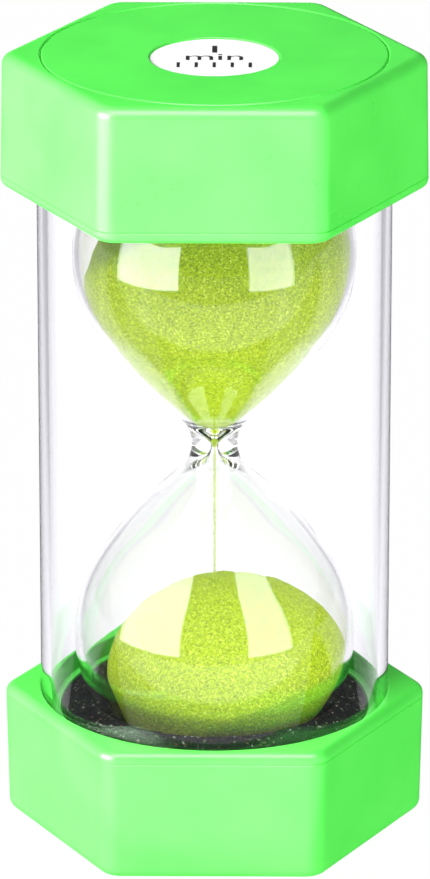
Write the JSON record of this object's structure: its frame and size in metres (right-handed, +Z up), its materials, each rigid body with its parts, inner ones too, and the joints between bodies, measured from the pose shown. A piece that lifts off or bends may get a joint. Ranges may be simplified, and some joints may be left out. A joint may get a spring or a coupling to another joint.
{
  "type": "hourglass",
  "caption": "Hexagonal sand timer: moulded caps joined by a clear tube around a sealed glass hourglass bulb of coloured sand; it stands on either flat end.",
  "frame": {"origin": "centre of the bottom face, on the surface it stands on", "axes": "+Z up along the tube; a flat side of the hexagon faces -Y, so opposite corners lie along X"},
  "size_m": [0.0842, 0.0742, 0.16],
  "materials": {
    "cap_plastic": "gloss",
    "tube_plastic": "gloss",
    "bulb_glass": "polished",
    "glitter_sand": "matte",
    "pad_foam": "matte",
    "stopper_rubber": "matte",
    "label_paper": "matte"
  },
  "bodies": {
    "root": {"bottom_cap": "cap_plastic", "bottom_collar": "cap_plastic", "bottom_end_plate": "cap_plastic", "lower_foam_pad": "pad_foam", "clear_tube": "tube_plastic", "glass_bulbs": "bulb_glass", "fill_plug": "stopper_rubber", "lower_sand": "glitter_sand", "sand_stream": "glitter_sand", "upper_sand": "glitter_sand", "upper_foam_pad": "pad_foam", "top_end_plate": "cap_plastic", "top_collar": "cap_plastic", "top_cap": "cap_plastic", "top_label": "label_paper"}
  },
  "joints": []
}
